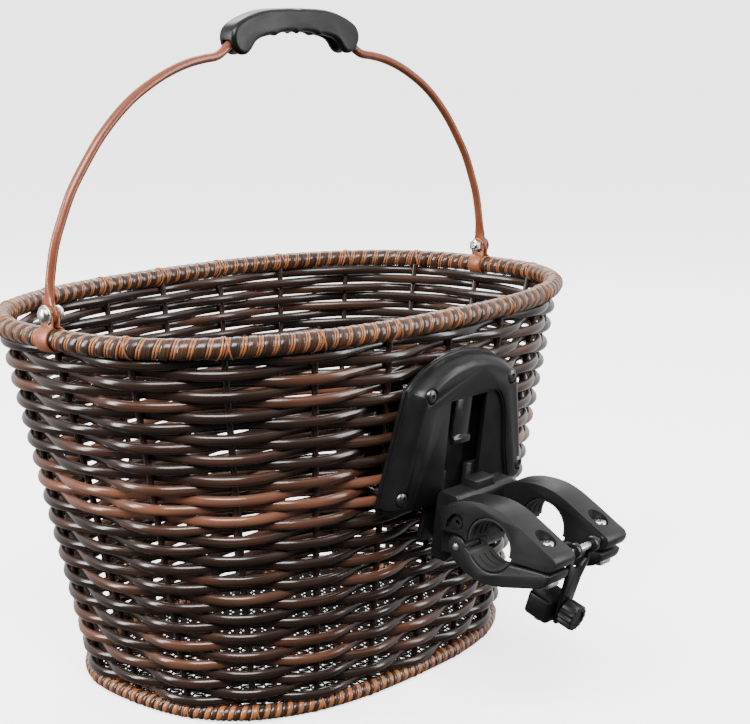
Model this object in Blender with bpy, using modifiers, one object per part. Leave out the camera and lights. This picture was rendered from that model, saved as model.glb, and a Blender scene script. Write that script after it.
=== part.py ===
"""Handlebar basket: oval woven basket with a carrying bail, a slide-in receptacle on its back wall and
the quick-release handlebar adapter that slides into it.

Frame: metres, +Z up, X along the basket's long axis, -Y towards the bicycle.  The receptacle and the
adapter are drawn upright (X across, -Y out from the wall, Z up the wall) and then leaned with the wall.
"""
import math

import bmesh
import bpy
from mathutils import Matrix, Vector

MM = 0.001

# ---- frame -----------------------------------------------------------------------------------------
FRAME_SHIFT_Y = 42.822         # puts the origin under the middle of the whole object's bounding box

# ---- basket ----------------------------------------------------------------------------------------
OVAL_POWER = 2.5               # superellipse exponent of the rim
BASE_POWER = 2.6
RIM_HALF_X = 177.0
RIM_HALF_Y = 116.5
BASE_HALF_X = 128.5
BASE_HALF_Y = 91.0
RIM_TUBE_R = 5.2
BASE_TUBE_R = 4.2
BASE_Z = BASE_TUBE_R
RIM_Z = BASE_Z + 204.8
WALL_T = 8.0
GAP = 0.4
FLOOR_Z0 = 2.0
FLOOR_Z1 = 6.5
LOOP_STEPS = 60

# ---- bail ------------------------------------------------------------------------------------------
PIVOT_Z = RIM_Z + 12.3
PIVOT_Y = 0.0
BAIL_R = 2.5
EYE_R = 5.2
EYE_T = 2.4
BOLT_R = 2.0
GRIP_T = 12.4
GROOVE_PITCH = 17.5
BAIL_ARCH = ((177.0, 7.0), (175.6, 19.0), (172.3, 34.0), (167.0, 47.0), (160.5, 60.0), (151.5, 72.7),
             (141.0, 85.5), (129.0, 96.8), (117.0, 105.6), (103.0, 113.2), (91.0, 118.2), (79.0, 121.8),
             (68.0, 123.8), (60.0, 124.8), (55.0, 126.8), (50.0, 130.4), (44.0, 134.6), (33.0, 138.6),
             (17.0, 141.3), (0.0, 142.0))

# ---- receptacle, in wall coordinates (x, out from the wall, up the wall) ---------------------------
LEAN = math.atan2(RIM_HALF_Y - BASE_HALF_Y, RIM_Z - BASE_Z)
BACK_OUT = 6.0
FACE_OUT = 18.7
HOUSING = ((0.0, 191.0), (15.0, 189.4), (28.0, 185.2), (38.0, 179.6), (43.0, 175.4), (45.6, 170.0),
           (57.6, 119.0), (58.2, 113.0), (56.4, 108.6), (52.0, 107.0), (45.0, 107.0), (0.0, 107.0))
RECESS = ((0.0, 169.0), (15.0, 168.6), (23.0, 166.4), (28.0, 161.0), (31.5, 152.0), (36.0, 129.0),
          (41.5, 110.0), (43.0, 100.0), (0.0, 100.0))
SCREW_SPOTS = ((-35.0, 173.0), (35.0, 173.0), (-51.0, 119.5), (51.0, 119.5))
SLOT_DEEP = (9.2, 13.8)
LIP = (13.8, 16.5)

# ---- adapter, same wall coordinates ----------------------------------------------------------------
TEE = (10.3, 13.3)
CLAMP_X = 24.0
CLAMP_HALF = 9.0
BORE = (63.0, 105.0)
CLAMP_TILT = math.radians(8.0)
JAW_BORE_R = 14.6
SHIM_IN_R = 12.7
SHIM_OUT_R = 14.3
KNUCKLE = (-21.6, -5.0)
KNUCKLE_R = 6.0
JAW_PIN_R = 2.0
CLAMP_BOLT_A = 29.0
CLAMP_BOLT_R = 2.4
BRACE_AT = (35.5, -2.2)
BRACE_TILT = math.radians(19.0)

UPPER_JAW = ((-32.0, 15.0), (-28.5, 16.4), (-22.0, 19.4), (-14.0, 21.2), (-6.0, 21.5), (3.0, 20.4),
             (11.0, 17.6), (19.0, 13.2), (27.0, 8.4), (35.0, 3.4), (39.6, 0.6), (41.0, -2.6), (39.0, -6.2),
             (35.5, -7.4), (22.0, -6.6))
UPPER_ROOT = ((-15.4, -0.4), (-17.6, 1.5), (-21.6, 2.4), (-32.0, 2.4))
LOWER_JAW = ((-24.5, -11.6), (-19.5, -15.8), (-9.3, -20.4), (1.0, -21.6), (11.3, -20.6), (22.0, -18.7),
             (30.0, -17.4), (35.0, -14.6), (37.0, -11.2), (35.4, -8.9), (22.0, -8.1))

MATERIALS = {
    "rattan": ((0.052, 0.034, 0.027), 0.0, 0.34),
    "copper_steel": ((0.33, 0.125, 0.06), 0.35, 0.38),
    "zinc_steel": ((0.62, 0.62, 0.61), 1.0, 0.28),
    "black_plastic": ((0.022, 0.022, 0.023), 0.0, 0.42),
    "grip_plastic": ((0.018, 0.018, 0.02), 0.0, 0.5),
    "rubber": ((0.03, 0.029, 0.029), 0.0, 0.75),
    "black_steel": ((0.03, 0.03, 0.032), 0.6, 0.25),
}


# ---- scene housekeeping ----------------------------------------------------------------------------
def clear_scene():
    for obj in list(bpy.data.objects):
        bpy.data.objects.remove(obj, do_unlink=True)
    for coll in list(bpy.data.collections):
        bpy.data.collections.remove(coll)


def new_collection(name):
    coll = bpy.data.collections.new(name)
    bpy.context.scene.collection.children.link(coll)
    return coll


def make_materials():
    made = {}
    for name, (colour, metallic, rough) in MATERIALS.items():
        mat = bpy.data.materials.new(name)
        mat.use_nodes = True
        shader = mat.node_tree.nodes["Principled BSDF"]
        shader.inputs["Base Color"].default_value = (*colour, 1.0)
        shader.inputs["Metallic"].default_value = metallic
        shader.inputs["Roughness"].default_value = rough
        made[name] = mat
    return made


clear_scene()
PARTS = new_collection("handlebar_basket")
TOOLS = new_collection("cutters")
MATS = make_materials()


# ---- frames ----------------------------------------------------------------------------------------
BASKET = Matrix.Translation((0.0, FRAME_SHIFT_Y * MM, 0.0))
WALL = (BASKET @ Matrix.Translation((0.0, -BASE_HALF_Y * MM, BASE_Z * MM))
        @ Matrix.Rotation(LEAN, 4, "X"))
CLAMP = (WALL @ Matrix.Translation((0.0, -BORE[0] * MM, BORE[1] * MM))
         @ Matrix.Rotation(-CLAMP_TILT, 4, "X"))
BRACE = (CLAMP @ Matrix.Translation((0.0, -BRACE_AT[0] * MM, BRACE_AT[1] * MM))
         @ Matrix.Rotation(BRACE_TILT, 4, "X"))


# ---- mesh helpers ----------------------------------------------------------------------------------
def add_object(name, bm, matrix, material=None):
    bmesh.ops.recalc_face_normals(bm, faces=bm.faces[:])
    mesh = bpy.data.meshes.new(name)
    bm.to_mesh(mesh)
    bm.free()
    mesh.transform(matrix)
    obj = bpy.data.objects.new(name, mesh)
    if material is None:
        TOOLS.objects.link(obj)
        obj.hide_render = True
        obj.display_type = "WIRE"
    else:
        PARTS.objects.link(obj)
        mesh.materials.append(MATS[material])
    return obj


def prism_mesh(points, low, high, axis):
    """Polygon in the two other axes, pushed along axis from low to high (all in millimetres)."""
    bm = bmesh.new()
    rings = []
    for level in (low, high):
        ring = []
        for u, v in points:
            spot = {"X": (level, u, v), "Y": (u, level, v), "Z": (u, v, level)}[axis]
            ring.append(bm.verts.new(Vector(spot) * MM))
        rings.append(ring)
    bm.faces.new(rings[0])
    bm.faces.new(rings[1])
    count = len(points)
    for i in range(count):
        j = (i + 1) % count
        bm.faces.new((rings[0][i], rings[0][j], rings[1][j], rings[1][i]))
    return bm


def prism(name, points, low, high, axis, matrix, material=None):
    return add_object(name, prism_mesh(points, low, high, axis), matrix, material)


def box(name, xs, ys, zs, matrix, material=None):
    points = ((ys[0], zs[0]), (ys[1], zs[0]), (ys[1], zs[1]), (ys[0], zs[1]))
    return prism(name, points, xs[0], xs[1], "X", matrix, material)


def circle(cx, cy, radius, steps, start=0.0, stop=360.0):
    full = abs(stop - start) >= 360.0
    count = steps if full else steps + 1
    spots = []
    for i in range(count):
        angle = math.radians(start + (stop - start) * i / steps)
        spots.append((cx + radius * math.cos(angle), cy + radius * math.sin(angle)))
    return spots


def disc(name, centre, radius, low, high, axis, matrix, material=None, steps=24):
    return prism(name, circle(centre[0], centre[1], radius, steps), low, high, axis, matrix, material)


def turned(name, profile, matrix, material=None, steps=24):
    """Solid of revolution about local Z; profile runs from the axis round to the axis."""
    bm = bmesh.new()
    rings = []
    for radius, z in profile:
        if radius < 1e-6:
            rings.append([bm.verts.new((0.0, 0.0, z * MM))])
            continue
        ring = []
        for i in range(steps):
            angle = 2.0 * math.pi * i / steps
            ring.append(bm.verts.new((radius * MM * math.cos(angle), radius * MM * math.sin(angle), z * MM)))
        rings.append(ring)
    for low, high in zip(rings, rings[1:]):
        for i in range(steps):
            j = (i + 1) % steps
            if len(low) == 1:
                bm.faces.new((low[0], high[i], high[j]))
            elif len(high) == 1:
                bm.faces.new((low[i], low[j], high[0]))
            else:
                bm.faces.new((low[i], low[j], high[j], high[i]))
    return add_object(name, bm, matrix, material)


def bevel(obj, width, segments=2, angle=30.0):
    mod = obj.modifiers.new("edge_round", "BEVEL")
    mod.width = width * MM
    mod.segments = segments
    mod.limit_method = "ANGLE"
    mod.angle_limit = math.radians(angle)


def combine(obj, tool, operation):
    mod = obj.modifiers.new(operation.lower() + "_" + tool.name, "BOOLEAN")
    mod.operation = operation
    mod.object = tool
    mod.solver = "EXACT"


def cut(obj, *tools):
    for tool in tools:
        combine(obj, tool, "DIFFERENCE")


def join(obj, *tools):
    for tool in tools:
        combine(obj, tool, "UNION")


def mirrored(points):
    """Half outline from the centre line outwards, completed with its mirror image."""
    right = [p for p in points]
    left = [(-x, y) for x, y in reversed(points) if x > 1e-6]
    return right + left


def flip(points):
    """Clamp or wall outlines are written with 'out' positive; the local Y axis points the other way."""
    return [(-a, b) for a, b in points]


# ---- basket body -----------------------------------------------------------------------------------
def oval(half_x, half_y, power, count):
    """Superellipse resampled to equal steps of arc length."""
    fine = []
    for i in range(2880):
        angle = 2.0 * math.pi * i / 2880
        c = math.cos(angle)
        s = math.sin(angle)
        x = half_x * math.copysign(abs(c) ** (2.0 / power), c)
        y = half_y * math.copysign(abs(s) ** (2.0 / power), s)
        fine.append(Vector((x, y)))
    lengths = [0.0]
    for i in range(2880):
        lengths.append(lengths[-1] + (fine[(i + 1) % 2880] - fine[i]).length)
    result = []
    k = 0
    for j in range(count):
        target = lengths[-1] * j / count
        while lengths[k + 1] < target:
            k += 1
        t = (target - lengths[k]) / (lengths[k + 1] - lengths[k])
        result.append(fine[k].lerp(fine[(k + 1) % 2880], t))
    return result


def outward(points):
    count = len(points)
    normals = []
    for i in range(count):
        d = points[(i + 1) % count] - points[i - 1]
        normals.append(Vector((d.y, -d.x)).normalized())
    return normals


def ring_tube(name, points, z, radius, material, steps=12):
    bm = bmesh.new()
    normals = outward(points)
    rings = []
    for p, n in zip(points, normals):
        ring = []
        for k in range(steps):
            angle = 2.0 * math.pi * k / steps
            r = radius * math.cos(angle)
            ring.append(bm.verts.new(Vector((p.x + n.x * r, p.y + n.y * r, z + radius * math.sin(angle))) * MM))
        rings.append(ring)
    for i, ring in enumerate(rings):
        nxt = rings[(i + 1) % len(rings)]
        for k in range(steps):
            m = (k + 1) % steps
            bm.faces.new((ring[k], nxt[k], nxt[m], ring[m]))
    return add_object(name, bm, BASKET, material)


def make_wall():
    low_loop = oval(BASE_HALF_X, BASE_HALF_Y, BASE_POWER, LOOP_STEPS)
    high_loop = oval(RIM_HALF_X, RIM_HALF_Y, OVAL_POWER, LOOP_STEPS)
    z0 = BASE_Z + BASE_TUBE_R + GAP
    z1 = RIM_Z - RIM_TUBE_R - 2.3
    rings = []
    for z, side in ((z0, 0.5), (z1, 0.5), (z1, -0.5), (z0, -0.5)):
        f = (z - BASE_Z) / (RIM_Z - BASE_Z)
        mid = [a.lerp(b, f) for a, b in zip(low_loop, high_loop)]
        rings.append([(p + n * (WALL_T * side), z) for p, n in zip(mid, outward(mid))])
    bm = bmesh.new()
    made = [[bm.verts.new(Vector((p.x, p.y, z)) * MM) for p, z in ring] for ring in rings]
    for r, ring in enumerate(made):
        nxt = made[(r + 1) % 4]
        for i in range(LOOP_STEPS):
            j = (i + 1) % LOOP_STEPS
            bm.faces.new((ring[i], ring[j], nxt[j], nxt[i]))
    wall = add_object("side_wall", bm, BASKET, "rattan")
    for i, (x, up) in enumerate(SCREW_SPOTS):
        cut(wall, disc("wall_hole_%d" % i, (x, up), 2.5, -16.0, 12.0, "Y", WALL, steps=12))
    return wall


def make_basket():
    rim = oval(RIM_HALF_X, RIM_HALF_Y, OVAL_POWER, LOOP_STEPS)
    base = oval(BASE_HALF_X, BASE_HALF_Y, BASE_POWER, LOOP_STEPS)
    ring_tube("top_rim", rim, RIM_Z, RIM_TUBE_R, "rattan", 12)
    ring_tube("base_rim", base, BASE_Z, BASE_TUBE_R, "rattan", 8)
    make_wall()
    inset = BASE_TUBE_R + GAP
    panel = [p - n * inset for p, n in zip(base, outward(base))]
    prism("floor_panel", [(p.x, p.y) for p in panel], FLOOR_Z0, FLOOR_Z1, "Z", BASKET, "rattan")


# ---- bail ------------------------------------------------------------------------------------------
def tube_along(points, radius, steps):
    """Capped tube through points that all lie in the local XZ plane."""
    bm = bmesh.new()
    rings = []
    last = len(points) - 1
    for i, p in enumerate(points):
        d = (points[min(i + 1, last)] - points[max(i - 1, 0)]).normalized()
        side = Vector((-d.z, 0.0, d.x))
        ring = []
        for k in range(steps):
            angle = 2.0 * math.pi * k / steps
            offset = side * math.cos(angle) + Vector((0.0, 1.0, 0.0)) * math.sin(angle)
            ring.append(bm.verts.new((p + offset * radius) * MM))
        rings.append(ring)
    for low, high in zip(rings, rings[1:]):
        for k in range(steps):
            m = (k + 1) % steps
            bm.faces.new((low[k], low[m], high[m], high[k]))
    bm.faces.new(rings[0])
    bm.faces.new(rings[-1])
    return bm


def bail_path():
    half = [Vector((x, PIVOT_Y, PIVOT_Z + h)) for x, h in BAIL_ARCH]
    other = [Vector((-p.x, p.y, p.z)) for p in reversed(half[:-1])]
    return half + other


def make_bail():
    rod = add_object("bail_rod", tube_along(bail_path(), BAIL_R, 8), BASKET, "copper_steel")
    for side, tag in ((-1.0, "left"), (1.0, "right")):
        x0 = side * RIM_HALF_X - EYE_T / 2.0
        x1 = side * RIM_HALF_X + EYE_T / 2.0
        eye = circle(PIVOT_Y, PIVOT_Z, EYE_R, 18, 145.0, 395.0)
        paddle = prism("eye_" + tag, eye + [(PIVOT_Y + 2.2, PIVOT_Z + 9.5), (PIVOT_Y - 2.2, PIVOT_Z + 9.5)],
                       x0, x1, "X", BASKET)
        join(rod, paddle)
        cut(rod, disc("eye_hole_" + tag, (PIVOT_Y, PIVOT_Z), BOLT_R + 0.35, x0 - 2, x1 + 2, "X", BASKET, steps=16))


def grip_outline():
    """Side view of the grip, heights above the pivots: arched back, four finger grooves, end lobes."""
    back = [(18.0, 150.4), (28.0, 149.2), (37.0, 146.8), (45.0, 143.6), (49.6, 140.4), (51.6, 136.2),
            (51.2, 132.0), (49.0, 128.4), (45.0, 125.8), (40.5, 125.8), (37.0, 128.2), (33.5, 132.2),
            (29.0, 134.6)]
    grooves = []
    for i in range(1, 12):
        x = 29.0 * (12 - i) / 12
        cusp = 1.0 - abs(math.sin(math.pi * x / GROOVE_PITCH))
        grooves.append((x, 138.0 - 0.0042 * x * x - 1.3 * cusp ** 2))
    right = back + grooves
    left = [(-x, z) for x, z in reversed(right)]
    return right + [(0.0, 136.7)] + left


def make_grip():
    frame = BASKET @ Matrix.Translation((0.0, PIVOT_Y * MM, PIVOT_Z * MM))
    grip = prism("grip", grip_outline(), -GRIP_T / 2.0, GRIP_T / 2.0, "Y", frame, "grip_plastic")
    bevel(grip, 1.6, 2, 50.0)
    inner = [(x, h) for x, h in BAIL_ARCH if x < 56.0]
    line = [(x, h + BAIL_R + 1.8) for x, h in inner]
    line = line + [(-x, h) for x, h in reversed(line) if x > 0.0]
    slot = line + [(-60.0, 100.0), (60.0, 100.0)]
    cut(grip, prism("rod_slot", slot, -BAIL_R - 0.4, BAIL_R + 0.4, "Y", frame))


def make_brackets():
    for side, tag in ((-1.0, "left"), (1.0, "right")):
        x = side * RIM_HALF_X
        frame = BASKET @ Matrix.Translation((x * MM, 0.0, 0.0))
        outer = circle(0.0, RIM_Z, 6.9, 18, 112.0, 428.0)
        inner = circle(0.0, RIM_Z, 5.6, 18, 428.0, 112.0)
        top = PIVOT_Z + 4.8
        strap = ([(1.5, RIM_Z + 5.5), (1.5, top), (2.7, top)] + list(reversed(outer))
                 + [(-2.7, top), (-1.5, top), (-1.5, RIM_Z + 5.5)] + list(reversed(inner)))
        bracket = prism("rim_bracket_" + tag, strap, -4.6, 4.6, "Y", frame, "copper_steel")
        cut(bracket, disc("bracket_hole_" + tag, (0.0, PIVOT_Z), BOLT_R + 0.35, -6.0, 6.0, "X", frame, steps=16))
        turn = frame @ Matrix.Translation((0.0, 0.0, PIVOT_Z * MM)) @ Matrix.Rotation(side * math.pi / 2, 4, "Y")
        head = ((0.0, -7.4), (BOLT_R, -7.4), (BOLT_R, 3.0), (4.7, 3.0), (4.7, 3.8), (4.0, 4.9), (2.6, 5.6), (0.0, 5.9))
        turned("pivot_bolt_" + tag, head, turn, "zinc_steel", 20)
        nut = prism("pivot_nut_" + tag, circle(0.0, 0.0, 4.1, 6), -6.2, -3.0, "Z", turn, "zinc_steel")
        cut(nut, disc("nut_hole_" + tag, (0.0, 0.0), BOLT_R + 0.3, -9.0, 0.0, "Z", turn, steps=16))


# ---- receptacle ------------------------------------------------------------------------------------
def make_receptacle():
    housing = prism("receptacle_housing", mirrored(HOUSING), -FACE_OUT, -BACK_OUT, "Y", WALL, "black_plastic")
    bevel(housing, 2.2, 2, 30.0)
    slot = mirrored(((0.0, 167.4), (23.0, 167.4), (26.6, 128.0), (28.8, 104.0), (0.0, 104.0)))
    cut(housing,
        prism("slot_cut", slot, -SLOT_DEEP[1], -SLOT_DEEP[0], "Y", WALL),
        box("neck_cut", (-15.6, 15.6), (-LIP[1] - 1.0, -LIP[0] + 0.8), (100.0, 166.6), WALL),
        prism("recess_cut", mirrored(RECESS), -30.0, -LIP[1], "Y", WALL))
    for i, (x, up) in enumerate(SCREW_SPOTS):
        cut(housing,
            disc("housing_hole_%d" % i, (x, up), 2.4, -25.0, 0.0, "Y", WALL, steps=16),
            disc("housing_seat_%d" % i, (x, up), 4.3, -25.0, -16.6, "Y", WALL, steps=20))
    keeper = ((11.4, 167.0), (11.4, 143.5), (12.2, 140.0), (14.9, 140.0), (14.9, 143.0), (13.4, 144.6), (13.4, 167.0))
    prism("latch_keeper", flip(keeper), -7.2, 7.2, "X", WALL, "black_steel")


def make_fixings():
    plate_line = ((0.0, 184.0), (22.0, 183.0), (38.0, 180.0), (43.0, 174.0), (58.0, 122.0), (58.5, 115.0),
                  (54.0, 110.5), (0.0, 110.5))
    plate = prism("inner_plate", mirrored(plate_line), 7.6, 10.0, "Y", WALL, "black_plastic")
    bevel(plate, 0.8, 1, 30.0)
    window = ((0.0, 168.0), (22.0, 168.0), (33.0, 126.0), (0.0, 126.0))
    cut(plate, prism("plate_window", mirrored(window), 5.0, 12.0, "Y", WALL))
    for i, (x, up) in enumerate(SCREW_SPOTS):
        cut(plate, disc("plate_hole_%d" % i, (x, up), 2.4, 5.0, 12.0, "Y", WALL, steps=16))
        place = WALL @ Matrix.Translation((x * MM, 0.0, up * MM)) @ Matrix.Rotation(math.pi / 2, 4, "X")
        head = ((0.0, -14.6), (2.0, -14.6), (2.0, 17.0), (3.9, 17.0), (3.9, 17.9), (3.2, 18.7), (0.0, 19.0))
        screw = turned("mount_screw_%d" % (i + 1), head, place, "zinc_steel", 18)
        cut(screw, prism("drive_%d" % i, circle(0.0, 0.0, 1.7, 6), 17.8, 21.0, "Z", place))
        nut = prism("mount_nut_%d" % (i + 1), circle(0.0, 0.0, 4.0, 6), -13.4, -10.3, "Z", place, "zinc_steel")
        cut(nut, disc("mount_nut_hole_%d" % i, (0.0, 0.0), 2.35, -16.0, -8.0, "Z", place, steps=16))


# ---- handlebar adapter -----------------------------------------------------------------------------
def upper_jaw_outline():
    arc = circle(0.0, 0.0, JAW_BORE_R, 20, -26.0, 188.0)
    return list(UPPER_JAW) + arc + list(UPPER_ROOT)


def lower_jaw_outline():
    boss = circle(KNUCKLE[0], KNUCKLE[1], KNUCKLE_R, 14, 5.0, 235.0)
    arc = circle(0.0, 0.0, JAW_BORE_R, 12, -33.0, -155.0)
    return boss + list(LOWER_JAW) + arc


def make_adapter_body():
    block = ((20.0, 84.0), (20.0, 117.0), (23.0, 121.0), (33.5, 121.0), (35.6, 118.0), (35.6, 97.0),
             (33.0, 86.0), (30.0, 82.0), (22.0, 82.0))
    body = prism("adapter_body", flip(block), -25.0, 25.0, "X", WALL, "black_plastic")
    bevel(body, 1.6, 1, 30.0)
    neck = box("neck", (-14.0, 14.0), (-21.5, -TEE[0] - 0.8), (86.0, 99.0), WALL)
    tee = prism("tee_plate", mirrored(((0.0, 126.0), (19.5, 126.0), (22.5, 123.0), (26.0, 90.0), (24.0, 88.0), (0.0, 88.0))),
                -TEE[1], -TEE[0], "Y", WALL)
    bevel(tee, 0.7, 1, 30.0)
    cut(tee, box("tee_notch", (-9.0, 9.0), (-20.0, 0.0), (99.5, 140.0), WALL))
    join(body, tee, neck)
    for tag, x in (("front", -CLAMP_X), ("rear", CLAMP_X)):
        jaw = prism("upper_jaw_" + tag, flip(upper_jaw_outline()), x - CLAMP_HALF, x + CLAMP_HALF, "X", CLAMP)
        bevel(jaw, 0.9, 1, 40.0)
        lug = circle(KNUCKLE[0], KNUCKLE[1], 5.6, 12, 90.0, -90.0) + [(-35.0, -10.6), (-35.0, 0.6)]
        lug_tool = prism("lug_" + tag, flip(lug), x - 4.2, x + 4.2, "X", CLAMP)
        join(body, jaw, lug_tool)
    for tag, x in (("front", -CLAMP_X), ("rear", CLAMP_X)):
        seat = CLAMP @ Matrix.Translation((x * MM, -CLAMP_BOLT_A * MM, 0.0))
        inner = -1.0 if x > 0 else 1.0
        xs = sorted((x + inner * 5.0, x + inner * 12.0))
        cut(body,
            disc("bolt_bore_" + tag, (0.0, 0.0), CLAMP_BOLT_R + 0.5, -12.0, 12.0, "Z", seat, steps=16),
            disc("bolt_pocket_" + tag, (0.0, 0.0), 5.3, 0.5, 22.0, "Z", seat, steps=20),
            disc("lug_bore_" + tag, (-KNUCKLE[0], KNUCKLE[1]), JAW_PIN_R + 0.3, x - 6.0, x + 6.0, "X", CLAMP, steps=16),
            disc("brace_bore_" + tag, (-BRACE_AT[0], BRACE_AT[1]), 2.3, xs[0], xs[1], "X", CLAMP, steps=16))
    cut(body,
        box("button_pocket", (-8.6, 8.6), (-33.6, -23.4), (108.9, 130.0), WALL),
        box("pawl_slot", (-5.5, 5.5), (-34.2, -12.0), (103.8, 109.6), WALL))
    return body


def make_release():
    cap = box("release_button", (-8.2, 8.2), (-33.2, -23.8), (113.0, 125.6), WALL, "black_plastic")
    bevel(cap, 1.3, 1, 30.0)
    pawl = ((15.2, 104.2), (29.6, 104.2), (29.6, 108.3), (18.2, 108.3), (15.2, 105.6))
    prism("latch_pawl", flip(pawl), -5.1, 5.1, "X", WALL, "black_plastic")


def arc_shell(start, stop, steps):
    return (circle(0.0, 0.0, SHIM_OUT_R, steps, start, stop)
            + circle(0.0, 0.0, SHIM_IN_R, steps, stop, start))


def make_clamps():
    for tag, x in (("front", -CLAMP_X), ("rear", CLAMP_X)):
        x0 = x - CLAMP_HALF
        x1 = x + CLAMP_HALF
        jaw = prism("lower_jaw_" + tag, flip(lower_jaw_outline()), x0, x1, "X", CLAMP, "black_plastic")
        bevel(jaw, 0.9, 1, 40.0)
        seat = CLAMP @ Matrix.Translation((x * MM, -CLAMP_BOLT_A * MM, 0.0))
        cut(jaw,
            box("knuckle_slot_" + tag, (x - 4.7, x + 4.7), (14.95, 40.0), (-12.6, 8.0), CLAMP),
            disc("knuckle_bore_" + tag, (-KNUCKLE[0], KNUCKLE[1]), JAW_PIN_R + 0.3, x0 - 2.0, x1 + 2.0, "X", CLAMP,
                 steps=16),
            box("jaw_slot_" + tag, (-2.9, 2.9), (-4.0, 2.9), (-30.0, 0.0), seat),
            box("nut_pocket_" + tag, (-5.4, 5.4), (-5.4, 5.4), (-30.0, -14.0), seat))
        prism("jaw_pin_" + tag, circle(-KNUCKLE[0], KNUCKLE[1], JAW_PIN_R, 18), x0 - 0.4, x1 + 0.4, "X", CLAMP,
              "zinc_steel")
        prism("shim_upper_" + tag, flip(arc_shell(-20.0, 180.0, 18)), x0 + 0.6, x1 - 0.6, "X", CLAMP, "rubber")
        prism("shim_lower_" + tag, flip(arc_shell(-150.0, -37.0, 10)), x0 + 0.6, x1 - 0.6, "X", CLAMP, "rubber")
        shank = turned("clamp_bolt_" + tag,
                       ((0.0, -18.6), (CLAMP_BOLT_R, -18.6), (CLAMP_BOLT_R, 0.8), (4.4, 0.8), (4.4, 4.6), (3.8, 5.2),
                        (0.0, 5.2)), seat, "zinc_steel", 20)
        cut(shank, prism("socket_" + tag, circle(0.0, 0.0, 2.2, 6), 2.6, 8.0, "Z", seat))
        nut = box("clamp_nut_" + tag, (-5.0, 5.0), (-5.0, 5.0), (-17.6, -14.3), seat, "zinc_steel")
        bevel(nut, 0.5, 1, 30.0)
        cut(nut, box("clamp_nut_hole_" + tag, (-2.8, 2.8), (-3.5, 2.8), (-20.0, -12.0), seat))


def make_brace():
    prism("brace_pin", circle(-BRACE_AT[0], BRACE_AT[1], 2.0, 18), -18.4, 18.4, "X", CLAMP, "zinc_steel")
    outline = ((0.0, -12.0), (3.0, -11.4), (6.0, -8.0), (6.0, 0.0), (10.0, 0.0), (10.0, -9.0), (7.0, -19.0),
               (5.6, -43.0), (3.6, -46.0), (0.0, -46.0))
    strap = prism("brace_strap", mirrored(outline), -1.1, 1.1, "Y", BRACE, "black_steel")
    for side, tag in ((-1.0, "left"), (1.0, "right")):
        xs = sorted((side * 6.1, side * 9.9))
        join(strap, disc("strap_knuckle_" + tag, (0.0, 0.0), 4.2, xs[0], xs[1], "X", BRACE, steps=20))
    cut(strap,
        disc("strap_bore", (0.0, 0.0), 2.35, -14.0, 14.0, "X", BRACE, steps=18),
        disc("strap_stud_hole", (0.0, -38.0), 2.4, -4.0, 4.0, "Y", BRACE, steps=16))
    block = box("brace_block", (-10.0, 10.0), (1.6, 17.0), (-46.5, -32.5), BRACE, "black_plastic")
    bevel(block, 2.2, 2, 30.0)
    cut(block,
        disc("block_stud_hole", (0.0, -38.0), 2.4, -2.0, 11.0, "Y", BRACE, steps=16),
        disc("block_screw_hole", (-4.0, 9.5), 1.95, -55.0, -42.5, "Z", BRACE, steps=16))
    screw = BRACE @ Matrix.Translation((-4.0 * MM, 9.5 * MM, 0.0))
    turned("block_screw", ((0.0, -49.0), (1.6, -48.8), (2.9, -48.0), (3.3, -46.9), (1.55, -46.9), (1.55, -43.0),
                           (0.0, -43.0)), screw, "zinc_steel", 18)
    spin = BRACE @ Matrix.Translation((0.0, 0.0, -38.0 * MM)) @ Matrix.Rotation(math.pi / 2, 4, "X")
    lobes = []
    for i in range(28):
        angle = 2.0 * math.pi * i / 28
        radius = 7.4 if i % 2 == 0 else 6.6
        lobes.append((radius * math.cos(angle), radius * math.sin(angle)))
    knob = prism("brace_knob", lobes, 1.6, 10.4, "Z", spin, "black_plastic")
    bevel(knob, 0.8, 1, 60.0)
    join(knob, disc("knob_stud", (0.0, 0.0), 2.0, -10.0, 4.0, "Z", spin, steps=16))


make_basket()
make_bail()
make_grip()
make_brackets()
make_receptacle()
make_fixings()
make_adapter_body()
make_release()
make_clamps()
make_brace()
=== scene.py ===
"""Looks of the handlebar basket: woven wall, wrapped rims, wire floor, bail, receptacle and adapter."""
import math
import random

import bmesh
import bpy
from mathutils import Matrix, Vector


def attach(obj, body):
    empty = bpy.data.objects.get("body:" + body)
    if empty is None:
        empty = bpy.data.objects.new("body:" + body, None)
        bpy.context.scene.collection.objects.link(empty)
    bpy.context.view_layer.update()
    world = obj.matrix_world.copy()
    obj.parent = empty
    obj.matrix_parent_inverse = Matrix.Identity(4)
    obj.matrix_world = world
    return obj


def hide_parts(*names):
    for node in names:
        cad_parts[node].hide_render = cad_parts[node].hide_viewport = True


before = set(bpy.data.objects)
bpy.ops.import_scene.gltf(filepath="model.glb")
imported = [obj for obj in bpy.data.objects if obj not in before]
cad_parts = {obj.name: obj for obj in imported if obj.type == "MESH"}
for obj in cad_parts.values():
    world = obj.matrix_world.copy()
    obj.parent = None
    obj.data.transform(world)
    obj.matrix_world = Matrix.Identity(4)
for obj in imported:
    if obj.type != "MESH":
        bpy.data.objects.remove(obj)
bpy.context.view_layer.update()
MM = 0.001

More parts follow.
